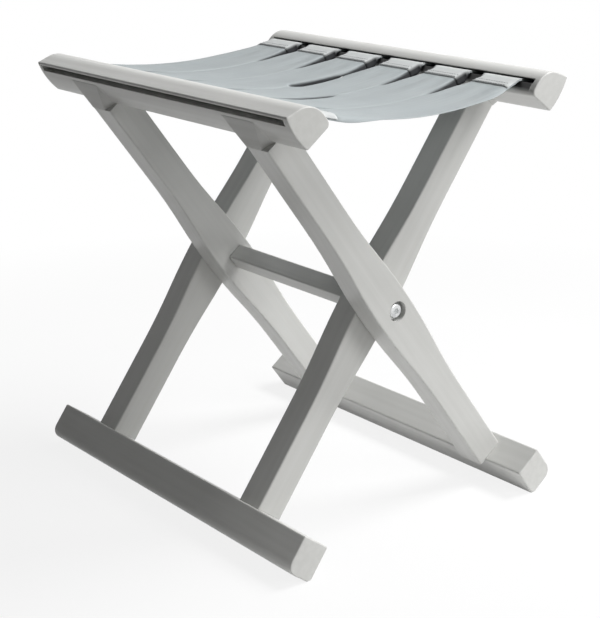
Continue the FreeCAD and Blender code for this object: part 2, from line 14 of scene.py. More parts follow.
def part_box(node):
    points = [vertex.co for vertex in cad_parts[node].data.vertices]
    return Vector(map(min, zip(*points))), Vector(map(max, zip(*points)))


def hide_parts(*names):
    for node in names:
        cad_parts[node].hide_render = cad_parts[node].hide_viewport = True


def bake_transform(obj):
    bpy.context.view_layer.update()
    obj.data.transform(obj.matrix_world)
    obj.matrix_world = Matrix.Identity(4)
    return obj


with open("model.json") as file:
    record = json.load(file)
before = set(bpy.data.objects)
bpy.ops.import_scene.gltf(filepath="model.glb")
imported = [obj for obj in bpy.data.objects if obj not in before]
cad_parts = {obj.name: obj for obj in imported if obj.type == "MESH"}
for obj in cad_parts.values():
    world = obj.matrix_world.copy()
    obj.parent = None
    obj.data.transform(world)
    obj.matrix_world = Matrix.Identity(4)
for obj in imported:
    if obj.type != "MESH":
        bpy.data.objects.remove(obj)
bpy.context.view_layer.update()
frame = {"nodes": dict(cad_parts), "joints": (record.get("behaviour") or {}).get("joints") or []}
MM = 0.001
scene = bpy.context.scene
scene.view_settings.view_transform = "Standard"

# %% [markdown]
# ## Camera
# The picture was taken from the front left, a little above the seat, from about a metre and a half. The
# camera is placed by its own three axes, so that its slight roll is part of its matrix. The lens follows
# from the height of the picture and the focal length in pixels.

# %% Camera
PICTURE_HIGH = 618
FOCAL_PIXELS = 1477.0
CAMERA_AT = Vector((-0.9062, -1.1397, 0.6498))
CAMERA_BACK = Vector((-0.5951, -0.7424, 0.3079)).normalized()
CAMERA_ROLL = -0.0073

level_right = Vector((0, 0, 1)).cross(CAMERA_BACK).normalized()
level_up = CAMERA_BACK.cross(level_right)
camera_right = level_right * np.cos(CAMERA_ROLL) + level_up * np.sin(CAMERA_ROLL)
camera_up = CAMERA_BACK.cross(camera_right)

camera_data = bpy.data.cameras.new("camera")
camera_data.sensor_fit = "VERTICAL"
camera_data.sensor_height = 24
camera_data.lens = camera_data.sensor_height * FOCAL_PIXELS / PICTURE_HIGH
camera = bpy.data.objects.new("camera", camera_data)
axes = Matrix((camera_right, camera_up, CAMERA_BACK)).transposed()
camera.matrix_world = Matrix.Translation(CAMERA_AT) @ axes.to_4x4()
scene.collection.objects.link(camera)
scene.camera = camera
print("lens", round(camera_data.lens, 2), "mm")

# %% [markdown]
# ## Studio
# The stool stands on a white floor in front of white. A large soft lamp stands to the right and above, so
# faces to the right and on top are bright, and a weaker one in front fills the near faces. The floor throws
# light back up under the rails and legs. Almost nothing lights the faces that look up to the left, which are
# therefore the darkest.

# %% Helpers for node materials
def new_material(name):
    """An empty node material: returns it with its node tree and its Principled shader."""
    material = bpy.data.materials.new(name)
    material.use_nodes = True
    tree = material.node_tree
    return material, tree, tree.nodes["Principled BSDF"]


def add_node(tree, kind, inputs=None, **settings):
    """Adds one node. Settings are its properties, and inputs maps a socket to a value or to a link."""
    node = tree.nodes.new(kind)
    for name, value in settings.items():
        setattr(node, name, value)
    for name, value in (inputs or {}).items():
        if isinstance(value, bpy.types.NodeSocket):
            tree.links.new(value, node.inputs[name])
        else:
            node.inputs[name].default_value = value
    return node


def math_node(tree, operation, first, second=0.0):
    """The result of one Math node on two values or links."""
    return add_node(tree, "ShaderNodeMath", {0: first, 1: second}, operation=operation).outputs[0]


def mix_colour(tree, factor, first, second, blend="MIX"):
    """The result of one colour Mix node."""
    node = add_node(tree, "ShaderNodeMix", data_type="RGBA", blend_type=blend)
    for socket, value in zip((node.inputs[0], node.inputs[6], node.inputs[7]), (factor, first, second)):
        if isinstance(value, bpy.types.NodeSocket):
            tree.links.new(value, socket)
        else:
            socket.default_value = value
    return node.outputs[2]


def remap(tree, value, low, high, to_low=0.0, to_high=1.0):
    """Maps a value from one range to another and clamps it there."""
    inputs = {"Value": value, "From Min": low, "From Max": high, "To Min": to_low, "To Max": to_high}
    return add_node(tree, "ShaderNodeMapRange", inputs).outputs[0]


def own_place(tree):
    """The object's own coordinates."""
    return add_node(tree, "ShaderNodeTexCoord").outputs["Object"]


def mapped(tree, place, **inputs):
    """Coordinates after one Mapping node with some Location, Rotation or Scale."""
    return add_node(tree, "ShaderNodeMapping", {"Vector": place, **inputs}).outputs[0]


def noise(tree, place, cells, detail):
    """The value of one Noise node with so many cells to a metre."""
    inputs = {"Vector": place, "Scale": cells, "Detail": detail}
    return add_node(tree, "ShaderNodeTexNoise", inputs).outputs[0]


def weighted_sum(tree, *terms):
    """The sum of some values, each times its weight, by one multiply-and-add node for each."""
    total = 0.0
    for value, weight in terms:
        inputs = {0: value, 1: weight, 2: total}
        total = add_node(tree, "ShaderNodeMath", inputs, operation="MULTIPLY_ADD").outputs[0]
    return total


# %% Floor and world
WHITE = (1.0, 1.0, 1.0, 1.0)
SHEET_TONE = (0.86, 0.86, 0.86, 1.0)
STUDIO_TONE = (0.34, 0.34, 0.34, 1.0)
SHEET_REACH = (0.55, 1.3)
SKY_LIGHT = (0.06, 0.06, 0.06, 1.0)
FLOOR_WIDE = 16.0
FLOOR_ROUGH = 0.9
FLOOR_SHINE = 0.1
SHADOW_REACH = (0.45, 1.0)
SHADOW_SHARE = 0.15


def seen_directly(tree):
    """One for rays from the camera, in a reflection or through glass, and nothing for rays that light."""
    path = add_node(tree, "ShaderNodeLightPath")
    seen = math_node(tree, "MAXIMUM", path.outputs["Is Camera Ray"], path.outputs["Is Glossy Ray"])
    return math_node(tree, "MAXIMUM", seen, path.outputs["Is Transmission Ray"])


def make_floor():
    """A flat square under the stool. Seen directly it is plain white, except that near the stool a part of
    it is the lit floor, which keeps the soft shadow. For every other ray it is a pale matt sheet round the
    stool that fades into a greyer studio floor."""
    half = FLOOR_WIDE / 2
    corners = [(-half, -half, 0), (half, -half, 0), (half, half, 0), (-half, half, 0)]
    mesh = bpy.data.meshes.new("floor")
    mesh.from_pydata(corners, [], [(0, 1, 2, 3)])
    floor = bpy.data.objects.new("floor", mesh)
    scene.collection.objects.link(floor)
    material, tree, shader = new_material("studio_floor")
    shader.inputs["Roughness"].default_value = FLOOR_ROUGH
    shader.inputs["Specular IOR Level"].default_value = FLOOR_SHINE
    away = add_node(tree, "ShaderNodeVectorMath", {0: own_place(tree)}, operation="LENGTH").outputs["Value"]
    sheet = mix_colour(tree, remap(tree, away, *SHEET_REACH), SHEET_TONE, STUDIO_TONE)
    tree.links.new(sheet, shader.inputs["Base Color"])
    white_share = remap(tree, away, *SHADOW_REACH, 1 - SHADOW_SHARE, 1.0)
    share = math_node(tree, "MULTIPLY", seen_directly(tree), white_share)
    glow = add_node(tree, "ShaderNodeEmission", {"Color": WHITE, "Strength": 1.0})
    mixed = add_node(tree, "ShaderNodeMixShader", {0: share, 1: shader.outputs[0], 2: glow.outputs[0]})
    tree.links.new(mixed.outputs[0], tree.nodes["Material Output"].inputs["Surface"])
    mesh.materials.append(material)


def make_world():
    """White where it is seen directly, and a dim grey as a light."""
    world = bpy.data.worlds.new("studio")
    scene.world = world
    world.use_nodes = True
    tree = world.node_tree
    colour = mix_colour(tree, seen_directly(tree), SKY_LIGHT, WHITE)
    tree.links.new(colour, tree.nodes["Background"].inputs["Color"])


make_floor()
make_world()
print("floor", FLOOR_WIDE, "m wide")

# %% Lamps
STOOL_MIDDLE = (0.0, 0.0, 0.25)


def make_lamp(name, at, aim, size, power):
    """A square area lamp at a point, turned towards another."""
    data = bpy.data.lights.new(name, "AREA")
    data.size = size
    data.energy = power
    lamp = bpy.data.objects.new(name, data)
    direction = Vector(aim) - Vector(at)
    lamp.rotation_euler = direction.to_track_quat("-Z", "Y").to_euler()
    lamp.location = at
    scene.collection.objects.link(lamp)


make_lamp("key_lamp", at=(1.42, -0.62, 2.22), aim=STOOL_MIDDLE, size=1.1, power=73)
make_lamp("front_lamp", at=(0.75, -1.90, 1.20), aim=STOOL_MIDDLE, size=1.2, power=21)
print("two lamps")

# %% [markdown]
# ## Painted wood
# The frames are wood under a pale grey satin paint. Paint hides most of the wood, but a little of the grain
# still shows as fine lines along each bar, the brush leaves faint streaks, and the paint is thinner on the
# edges. All patterns use the object's own coordinates, turned so that one axis runs along the grain. Legs
# lean one way or the other and the rails lie across, so there are three such turns. Where the straps leave
# the rails, a painted shade darkens the lips of the slots; a rod lies in each slot and tells where the slot
# is.

# %% Painted wood
PAINT_LIGHT = (0.640, 0.640, 0.621, 1.0)
PAINT_SHADE = (0.572, 0.573, 0.552, 1.0)
PAINT_WORN = (0.47, 0.445, 0.39, 1.0)
PAINT_ROUGH = (0.28, 0.40)
PAINT_SHINE = 0.3
NOISE_SPAN = (0.3, 0.7)
GRAIN_DRAWN = (1.0, 1.0, 0.035)
GRAIN_CELLS = 520.0
BRUSH_CELLS = 160.0
CLOUD_CELLS = 11.0
PEEL_CELLS = 900.0
BRUSH_SPAN = (0.35, 0.65)
BRUSH_SHARE = 0.45
CLOUD_SHARE = 0.55
GRAIN_SHARE = 0.5
PEEL_SHARE = 0.12
PAINT_BUMP = 0.25
PAINT_RELIEF = 0.25 * MM
EDGE_EASE = 1.1 * MM
EDGE_COSINES = (0.985, 0.86)
WORN_SPAN = (0.48, 0.72)
WORN_SHARE = 0.5

# The lips' band of painted shade fades from its second value to its first: above and below the slot, and
# inside it.
PAINTED_LIP_SHADE = (0.02, 0.02, 0.02, 1.0)
LIP_ABOVE = (-3.0 * MM, -1.7 * MM)
LIP_BELOW = (9.5 * MM, 6.0 * MM)
LIP_INSIDE = (23.0 * MM, 18.5 * MM)
LIP_END = 1.0 * MM
SLOT_RISE = np.radians(5.82)
LIP_REACH = 26.36 * MM

rod_low, rod_high = (np.array(corner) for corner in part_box("strap_rod_a"))
rod_at = (rod_low + rod_high) / 2
rod_radius = (rod_high[2] - rod_low[2]) / 2
rod_half_long = (rod_high[1] - rod_low[1]) / 2


def lip_shade_share(tree, place):
    """The share of painted shade: one round the inner mouth of a top rail's slot and nothing elsewhere. It is
    found by the distance in from the mouth, the distance below the slot's middle line and the place along
    the slot. Both rails use it, so X counts outwards and Y is turned round for the right one."""
    split = add_node(tree, "ShaderNodeSeparateXYZ", {0: place})
    out = math_node(tree, "ABSOLUTE", split.outputs["X"])
    inside = math_node(tree, "SUBTRACT", out, -rod_at[0] - LIP_REACH * np.cos(SLOT_RISE))
    before_rod = math_node(tree, "SUBTRACT", -rod_at[0], out)
    slot_z = math_node(tree, "ADD", math_node(tree, "MULTIPLY", before_rod, np.tan(SLOT_RISE)), rod_at[2])
    below = math_node(tree, "SUBTRACT", slot_z, split.outputs["Z"])
    turned_y = math_node(tree, "MULTIPLY", split.outputs["Y"], math_node(tree, "SIGN", split.outputs["X"]))
    from_middle = math_node(tree, "ABSOLUTE", math_node(tree, "ADD", turned_y, rod_at[1]))
    share = remap(tree, from_middle, rod_half_long, rod_half_long - LIP_END)
    for value, reach in ((below, LIP_ABOVE), (below, LIP_BELOW), (inside, LIP_INSIDE)):
        share = math_node(tree, "MULTIPLY", share, remap(tree, value, *reach))
    return share


def painted_wood(name, turn, shaded_lip=False):
    """Satin paint over wood. turn is the rotation that lays the pattern's Z along the grain, and shaded_lip
    adds painted shade on the lips of a rail's slot."""
    material, tree, shader = new_material(name)
    place = own_place(tree)
    turned = mapped(tree, place, Rotation=turn)
    along = mapped(tree, turned, Scale=GRAIN_DRAWN)
    grain = noise(tree, along, GRAIN_CELLS, detail=4.0)
    brush = noise(tree, along, BRUSH_CELLS, detail=2.0)
    cloud = noise(tree, turned, CLOUD_CELLS, detail=3.0)
    peel = noise(tree, turned, PEEL_CELLS, detail=1.0)

    streaks = remap(tree, brush, *BRUSH_SPAN)
    clouds = remap(tree, cloud, *NOISE_SPAN)
    tone = weighted_sum(tree, (streaks, BRUSH_SHARE), (clouds, CLOUD_SHARE))
    colour = mix_colour(tree, tone, PAINT_LIGHT, PAINT_SHADE)

    rounded = add_node(tree, "ShaderNodeBevel", {"Radius": EDGE_EASE}, samples=6).outputs[0]
    true_normal = add_node(tree, "ShaderNodeNewGeometry").outputs["True Normal"]
    facing = add_node(tree, "ShaderNodeVectorMath", {0: rounded, 1: true_normal}, operation="DOT_PRODUCT")
    edge = remap(tree, facing.outputs["Value"], *EDGE_COSINES)
    patchy = remap(tree, cloud, *WORN_SPAN)
    wear = math_node(tree, "MULTIPLY", math_node(tree, "MULTIPLY", edge, patchy), WORN_SHARE)
    colour = mix_colour(tree, wear, colour, PAINT_WORN)
    # Painted shade on the lips of a rail's slot, where the straps leave it.
    if shaded_lip:
        colour = mix_colour(tree, lip_shade_share(tree, place), colour, PAINTED_LIP_SHADE)
    tree.links.new(colour, shader.inputs["Base Color"])

    tree.links.new(remap(tree, brush, *NOISE_SPAN, *PAINT_ROUGH), shader.inputs["Roughness"])
    height = weighted_sum(tree, (grain, GRAIN_SHARE), (peel, PEEL_SHARE))
    relief = {"Strength": PAINT_BUMP, "Distance": PAINT_RELIEF, "Height": height, "Normal": rounded}
    tree.links.new(add_node(tree, "ShaderNodeBump", relief).outputs[0], shader.inputs["Normal"])
    shader.inputs["Specular IOR Level"].default_value = PAINT_SHINE
    return material


def give(material, *names):
    """Puts one material on every slot of some CAD nodes."""
    for name in names:
        for place in frame["nodes"][name].material_slots:
            place.material = material


LEAN = np.radians(36.65)
ALONG_Y = (np.pi / 2, 0, 0)
give(painted_wood("paint_on_legs_a", (0, LEAN, 0)), "a_outer_leg", "a_inner_leg")
give(painted_wood("paint_on_legs_b", (0, -LEAN, 0)), "b_outer_leg", "b_inner_leg")
give(painted_wood("paint_on_feet", ALONG_Y), "a_foot", "b_foot", "crossbar")
# The top rails get the painted shade on the lips of their slots.
give(painted_wood("paint_on_rails", ALONG_Y, shaded_lip=True), "a_top_rail", "b_top_rail")
print("wood painted")

# %% [markdown]
# ## Steel
# The bolt heads are bright zinc, turned on a lathe, so their roughness changes in fine rings round the pivot
# axis. The rods that hold the straps are plain drawn steel with fine scratches along them, and they are
# almost hidden in the rails.

# %% Steel
ZINC_BRIGHT = (0.74, 0.75, 0.75, 1.0)
ZINC_DULL = (0.50, 0.51, 0.52, 1.0)
ZINC_ROUGH = (0.16, 0.32)
RING_CELLS = 2600.0
STAIN_CELLS = 240.0
STAIN_SPAN = (0.42, 0.7)
ROD_DARK = (0.3, 0.3, 0.3, 1.0)
ROD_ROUGH = (0.3, 0.5)
ROD_DRAWN = (1.0, 0.02, 1.0)
ROD_CELLS = 1500.0
pivot_at = frame["joints"][0]["pos_m"]


def turned_zinc(name):
    """Bright zinc with fine turned rings: noise that changes only with the distance from the pivot axis."""
    material, tree, shader = new_material(name)
    centred = mapped(tree, own_place(tree), Location=(0.0, 0.0, -pivot_at[2]))
    from_axis = mapped(tree, centred, Scale=(1.0, 0.0, 1.0))
    reach = add_node(tree, "ShaderNodeVectorMath", {0: from_axis}, operation="LENGTH").outputs["Value"]
    turning = {"W": reach, "Scale": RING_CELLS}
    rings = add_node(tree, "ShaderNodeTexNoise", turning, noise_dimensions="1D").outputs[0]
    stain = noise(tree, centred, STAIN_CELLS, detail=3.0)
    colour = mix_colour(tree, remap(tree, stain, *STAIN_SPAN), ZINC_BRIGHT, ZINC_DULL)
    tree.links.new(colour, shader.inputs["Base Color"])
    tree.links.new(remap(tree, rings, *NOISE_SPAN, *ZINC_ROUGH), shader.inputs["Roughness"])
    shader.inputs["Metallic"].default_value = 1.0
    return material


def drawn_steel(name):
    """Grey drawn rod: streaks that run along Y."""
    material, tree, shader = new_material(name)
    streak = noise(tree, mapped(tree, own_place(tree), Scale=ROD_DRAWN), ROD_CELLS, detail=2.0)
    tree.links.new(mix_colour(tree, streak, ZINC_DULL, ROD_DARK), shader.inputs["Base Color"])
    tree.links.new(remap(tree, streak, *NOISE_SPAN, *ROD_ROUGH), shader.inputs["Roughness"])
    shader.inputs["Metallic"].default_value = 1.0
    return material


KINDS = ("bolt", "bolt_washer", "leg_washer", "bar_washer", "insert")
fittings = [f"{kind}_{side}" for kind in KINDS for side in ("near", "far")]
give(turned_zinc("zinc"), *fittings)
give(drawn_steel("rod_steel"), "strap_rod_a", "strap_rod_b")
print("steel on", len(fittings) + 2, "nodes")

# %% [markdown]
# ## Straps
# Each strap is one woven band. It starts as a hem on top of itself, goes back into the rail's slot, round the
# rod, out again underneath, hangs across the seat, and ends the same way at the other rail. A flat ribbon
# could be bent with a curve, but the band has to keep its width, thickness and sewn layers under control, so
# its middle surface is worked out first, as a function of the distance from the rod and the place across,
# and both layers are laid on it along its normals.

# %% Middle line of a strap
STRAP_COUNT = 6
BEND_RADIUS = 10.0 * MM
HEM_LONG = 16.5 * MM
LINE_STEPS = 2000


def smooth(value):
    """Goes from 0 to 1 without corners: three times the square less twice the cube, clamped."""
    value = np.clip(value, 0, 1)
    return value**2 * (3 - 2 * value)


def ramp(value, low, high):
    """The same smooth step between two values."""
    return smooth((value - low) / (high - low))


class StrapLine:
    """Middle line of the slot and of a strap's left half, by distance from the rod. The heading stays at the
    slot's rise up to the rail's lip, turns down at an even rate over the lip, and then turns back up evenly
    to level at the middle of the seat. Places are the running sum of the heading's cosine and sine."""

    def __init__(self, droop):
        lip_x = rod_at[0] + LIP_REACH * np.cos(SLOT_RISE)
        hang_x = lip_x + BEND_RADIUS * (np.sin(SLOT_RISE) + np.sin(droop))
        self.hang_start = LIP_REACH + BEND_RADIUS * (SLOT_RISE + droop)
        self.middle = self.hang_start - hang_x / np.sin(droop) * droop
        self.hem_end = self.hang_start + HEM_LONG
        self.reach = np.linspace(0, self.middle, LINE_STEPS)
        corners = [0, LIP_REACH, self.hang_start, self.middle]
        heading = np.interp(self.reach, corners, [SLOT_RISE, SLOT_RISE, -droop, 0])
        step = self.reach[1]
        self.x = rod_at[0] + np.concatenate([[0], np.cumsum(np.cos(heading[:-1]) * step)])
        self.z = rod_at[2] + np.concatenate([[0], np.cumsum(np.sin(heading[:-1]) * step)])


print("rod at", rod_at.round(4), "radius", round(rod_radius, 5))

# %% [markdown]
# The band is drawn in where it enters the slots, so neighbours touch in the middle of the seat and part at
# the rails. Where a band is drawn in, its edges roll down, and the openings between the bands look dark. At
# two of the borders, neighbours also part a little in the middle of the seat.

# %% Edges of a strap
NECK_WIDE = (48.5 * MM, 53.0 * MM)
OUTER_NECK = 60.0 * MM
SEAT_WIDE = 66.2 * MM
TAPER_LONG = 48.0 * MM
ROLL_WIDE = 7.0 * MM
ROLL_DROP = 8.0 * MM
ROLL_REACH = (26.6 * MM, 34.5 * MM, 50.0 * MM, 104.0 * MM)
FRONT_DROP = (0.7, 0.2)
BACK_DROP = 0.25

# By the border between two bands: where along X their parting starts and ends, and how wide it gets.
PARTINGS = {1: (4.0 * MM, -66.0 * MM, 3.0 * MM), 2: (76.0 * MM, -2.0 * MM, 9.0 * MM)}
PART_DROP = 8.5 * MM
PART_CURVE = 0.7
PART_THIN = 0.25
PART_OPEN = 0.25
PART_CLOSE = 0.12


def parting(border, x):
    """How far two neighbours part in the middle of the seat, from 0 to 1: a wedge from a thin start to a
    blunt end, rounded by a smooth step at both."""
    start, end, _ = PARTINGS[border]
    along = (x - start) / (end - start)
    wedge = PART_THIN + (1 - PART_THIN) * np.clip(along, 0, 1)
    return smooth(along / PART_OPEN) * wedge * smooth((1 - along) / PART_CLOSE)


def half_width(reach, x, line, number, side):
    """Width from the band's middle to one edge: the neck's half in the slot, the seat's half past the taper,
    with a smooth step between them, less half of any parting from the neighbour on that side. The seat's
    front edge is hardly drawn in at the left rail."""
    share = number / (STRAP_COUNT - 1)
    neck = NECK_WIDE[0] * (1 - share) + NECK_WIDE[1] * share
    border = number if side > 0 else number - 1
    if border < 0:
        neck = np.where(x < 0, OUTER_NECK, neck)
    half = (neck + (SEAT_WIDE - neck) * smooth((reach - line.hang_start) / TAPER_LONG)) / 2
    if border in PARTINGS:
        half = half - parting(border, x) * PARTINGS[border][2] / 2
    return half


def edge_drop(reach, x, number, side):
    """How far one edge rolls down: up and down again by smooth steps along the drawn-in stretch, less on the
    seat's two outer edges, or the drop of a parting."""
    rise, full, fade, gone = ROLL_REACH
    drop = ROLL_DROP * ramp(reach, rise, full) * (1 - ramp(reach, fade, gone))
    border = number if side > 0 else number - 1
    if border < 0:
        return drop * np.where(x < 0, *FRONT_DROP)
    if border == STRAP_COUNT - 1:
        return drop * BACK_DROP
    if border in PARTINGS:
        drop = np.maximum(drop, PART_DROP * parting(border, x) ** PART_CURVE)
    return drop


# %% Middle surface of a strap
DROOP = (np.radians(15.4), np.radians(13.1))
TILT = 0.0072
PLEAT_HIGH = 0.55 * MM
PLEAT_TURNS = 2.5
PLEATS_START = (0.3, 0.8)
PLEATS_END = (0.8, 1.8)
WAVE_HIGH = 0.6 * MM
EDGE_STIFF = 4
ROLL_PAST = 1.2
REACH_STEP = 0.3 * MM
SHARE_STEP = 0.004


def strap_folds(past, share, number, turn):
    """Soft relief of the cloth, flat at the edges: lengthwise pleats that start past the hem and die out on
    the way to the middle, and a slow wave over the whole band. Each is a sine, and uneven factors of the
    band's number give it a phase of its own."""
    pleats = PLEAT_HIGH * ramp(past, *PLEATS_START) * (1 - ramp(past, *PLEATS_END))
    folds = pleats * np.sin(PLEAT_TURNS * np.pi * share + 1.7 * number + 0.9 * turn)
    phase = np.pi * 0.6 * np.sin(2.1 * number) + 1.3 * number
    wave = WAVE_HIGH * smooth(past / 2) * np.sin(np.pi * share + phase)
    return (folds + wave) * (1 - np.clip(np.abs(share), 0, 1) ** EDGE_STIFF)


def middle_surface(line, number, turn, reach, share):
    """Points of a band's middle surface, left half, from its own middle in Y, and how far each has rolled
    down. The line gives X and Z, the share of the half width gives Y, and folds, a tilt towards the higher
    neighbour and the rolled edges, a parabola over their last few millimetres, are added to Z."""
    x = np.interp(reach, line.reach, line.x)
    true_x = x if turn == 0 else -x
    near = half_width(reach, true_x, line, number, -1)
    far = half_width(reach, true_x, line, number, 1)
    half = np.where(share < 0, near, far)
    place = half * share
    past = (reach - line.hang_start) / TAPER_LONG
    turned = np.clip((np.abs(place) - half) / ROLL_WIDE + 1, 0, ROLL_PAST) ** 2
    near_drop = edge_drop(reach, true_x, number, -1)
    far_drop = edge_drop(reach, true_x, number, 1)
    drop = np.where(share < 0, near_drop, far_drop) * turned
    level = ramp(reach, line.hang_start, line.middle)
    z = np.interp(reach, line.reach, line.z) + strap_folds(past, share, number, turn) - drop
    z = z + TILT * place * level
    x, place, z = np.broadcast_arrays(x, place, z)
    return np.stack([x, place, z], -1), drop


def surface_normals(line, number, turn, reach, share):
    """Unit normals: the cross product of the surface's two slopes, taken over small steps."""
    ahead, _ = middle_surface(line, number, turn, reach + REACH_STEP, share)
    behind, _ = middle_surface(line, number, turn, reach - REACH_STEP, share)
    right, _ = middle_surface(line, number, turn, reach, share + SHARE_STEP)
    left, _ = middle_surface(line, number, turn, reach, share - SHARE_STEP)
    normal = np.cross(ahead - behind, right - left)
    return normal / np.linalg.norm(normal, axis=-1, keepdims=True)


# %% Layers of a strap
BAND_THICK = 1.0 * MM
LAYER_LIFT = 0.56 * MM
LOOP_CLEAR = 0.30 * MM
LOOP_REACH = 4.5 * MM
HEM_INSET = 0.8 * MM
HEM_PRESS = 3.0 * MM
HEM_THIN = 0.35
BAND_STEP = 2.2 * MM
ACROSS_COUNT = 37
LOOP_COUNT = 14
loop_radius = rod_radius + LOOP_CLEAR + BAND_THICK / 2
across = np.sin(np.linspace(-np.pi / 2, np.pi / 2, ACROSS_COUNT))[None, :]


def layer_lift(reach):
    """How far each layer lies from the middle surface: half a loop at the rod, then layer on layer."""
    return LAYER_LIFT + (loop_radius - LAYER_LIFT) * (1 - smooth(reach / LOOP_REACH))


def hem_thickness(reach, line):
    """The hem's share of the full thickness: its last few millimetres are pressed flat by a smooth step."""
    return HEM_THIN + (1 - HEM_THIN) * smooth((line.hem_end - reach) / HEM_PRESS)


def half_band(line, number, turn):
    """Half of one band as a grid of points, from the end of its hem, round the rod, to the middle of the
    seat, with the direction of its face at each point as long as its share of the thickness, how far it has
    rolled down, and whether it is hem."""
    hem = np.arange(line.hem_end, 0, -BAND_STEP)[:, None]
    main = np.linspace(0, line.middle, int(line.middle / BAND_STEP))[:, None]
    angle = (np.linspace(np.pi / 2, 3 * np.pi / 2, LOOP_COUNT)[1:-1] + SLOT_RISE)[:, None]
    inner = across * (1 - HEM_INSET / (SEAT_WIDE / 2))
    upper, upper_drop = middle_surface(line, number, turn, hem, inner)
    upper_face = surface_normals(line, number, turn, hem, inner)
    lower, lower_drop = middle_surface(line, number, turn, main, across)
    lower_face = -surface_normals(line, number, turn, main, across)
    round_face = np.stack(np.broadcast_arrays(np.cos(angle), 0 * across, np.sin(angle)), -1)
    loop = round_face * loop_radius + np.array([rod_at[0], 0, rod_at[2]])
    loop[..., 1] = lower[0, :, 1]
    pressed = hem_thickness(hem, line)[..., None]
    hem_lift = layer_lift(hem)[..., None] - BAND_THICK / 2 * (1 - pressed)
    upper = upper + upper_face * hem_lift
    lower = lower + lower_face * layer_lift(main)[..., None]
    points = np.concatenate([upper, loop, lower])
    face = np.concatenate([upper_face * pressed, round_face, lower_face])
    drop = np.concatenate([upper_drop, np.zeros(loop.shape[:2]), lower_drop])
    on_hem = np.concatenate([np.ones(len(hem)), np.full(len(angle), 0.5), np.zeros(len(main))])
    if turn == 1:
        points, face = points * (-1, 1, 1), face * (-1, 1, 1)
    return points, face, drop, on_hem


def whole_band(line, number, middle_y):
    """Both halves in one run, the right one backwards, with their shared middle station once."""
    left = half_band(line, number, 0)
    right = half_band(line, number, 1)
    points, face, drop, on_hem = (np.concatenate([a, b[-2::-1]]) for a, b in zip(left, right))
    points[..., 1] += middle_y
    return points, face, drop, on_hem


# %% Mesh of a strap
EDGE_POWER = 30
ring = np.concatenate([np.arange(ACROSS_COUNT), np.arange(ACROSS_COUNT - 2, 0, -1)])


def band_skin(points, face):
    """Vertices of a closed band: each point of the grid twice, moved both ways along its face. The half
    thickness is even and closes at both edges as the root of one less a high power of the place across."""
    half_thick = BAND_THICK / 2 * np.sqrt(1 - across[0] ** EDGE_POWER)
    offset = np.concatenate([half_thick, -half_thick[-2:0:-1]])
    return points[:, ring] + face[:, ring] * offset[None, :, None]


def cloth_map(points):
    """Metres across and along the cloth for each point of the grid, from the lengths of its steps."""
    steps_across = np.linalg.norm(np.diff(points, axis=1), axis=-1)
    across_at = np.concatenate([np.zeros((len(points), 1)), np.cumsum(steps_across, axis=1)], axis=1)
    across_at = across_at - across_at[:, -1:] / 2
    middle = points[:, ACROSS_COUNT // 2]
    along_at = np.concatenate([[0], np.cumsum(np.linalg.norm(np.diff(middle, axis=0), axis=-1))])
    return across_at, along_at


def grid_faces(stations, round_count):
    """Quads of a closed tube of sections, and quads that close its two ends."""
    first = np.arange(stations - 1)[:, None] * round_count
    here = np.arange(round_count)[None, :]
    following = (here + 1) % round_count
    second = first + round_count
    sides = np.stack([first + here, first + following, second + following, second + here], -1)
    inner = np.arange(1, ACROSS_COUNT - 2)
    opposite = round_count - inner
    start = np.stack([inner, opposite, opposite - 1, inner + 1], -1)
    end = start[:, ::-1] + (stations - 1) * round_count
    return np.concatenate([sides.reshape(-1, 4), start, end])


def mesh_object(name, points, faces, material):
    """A mesh object with smooth faces that point outwards. The signed volume says whether to turn them."""
    points = points.reshape(-1, 3)
    corner = points[faces]
    volume = np.einsum("ij,ij->i", corner[:, 0], np.cross(corner[:, 1], corner[:, 2])).sum()
    volume += np.einsum("ij,ij->i", corner[:, 0], np.cross(corner[:, 2], corner[:, 3])).sum()
    if volume < 0:
        faces = faces[:, ::-1]
    mesh = bpy.data.meshes.new(name)
    mesh.from_pydata(points.tolist(), [], faces.tolist())
    mesh.polygons.foreach_set("use_smooth", np.ones(len(faces), bool))
    mesh.materials.append(material)
    item = bpy.data.objects.new(name, mesh)
    scene.collection.objects.link(item)
    return item, faces


# %% [markdown]
# ## Webbing
# The cloth is a plain weave in a light blue-grey. Its threads are less than a millimetre apart, so the
# pattern has to follow the band, not the room: it reads the band's own map, which holds metres along and
# across. The doubled hem is a little paler. Edges that are rolled down between two bands are in deep shade,
# and a mark on the band's points paints that shade dark into their colour.

# %% Webbing
WEB_LIGHT = (0.450, 0.482, 0.488, 1.0)
WEB_SHADE = (0.352, 0.388, 0.402, 1.0)
WEB_HEM = (0.60, 0.615, 0.612, 1.0)
# Colour of the painted shade in the rolled-down edges and beyond the hems.
CLOTH_SHADE_TONE = (0.022, 0.023, 0.025, 1.0)
REPEATS_PER_METRE = 780.0
WARP_DRAWN = (1.0, 0.03, 1.0)
WARP_CELLS = 420.0
FADED_CELLS = 26.0
WEAVE_SHARE = 0.3
WARP_SHARE = 0.45
FADED_SHARE = 0.25
HEM_SHARE = 0.85
WEAVE_BUMP = 0.5
WEAVE_RELIEF = 0.25 * MM
WEB_FINISH = {"Roughness": 0.78, "Sheen Weight": 0.06, "Sheen Roughness": 0.4, "Specular IOR Level": 0.12}
THREAD_DARK = (0.30, 0.31, 0.32, 1.0)
THREAD_LIGHT = (0.48, 0.50, 0.51, 1.0)
TWIST_CELLS = 1800.0
THREAD_ROUGH = 0.6


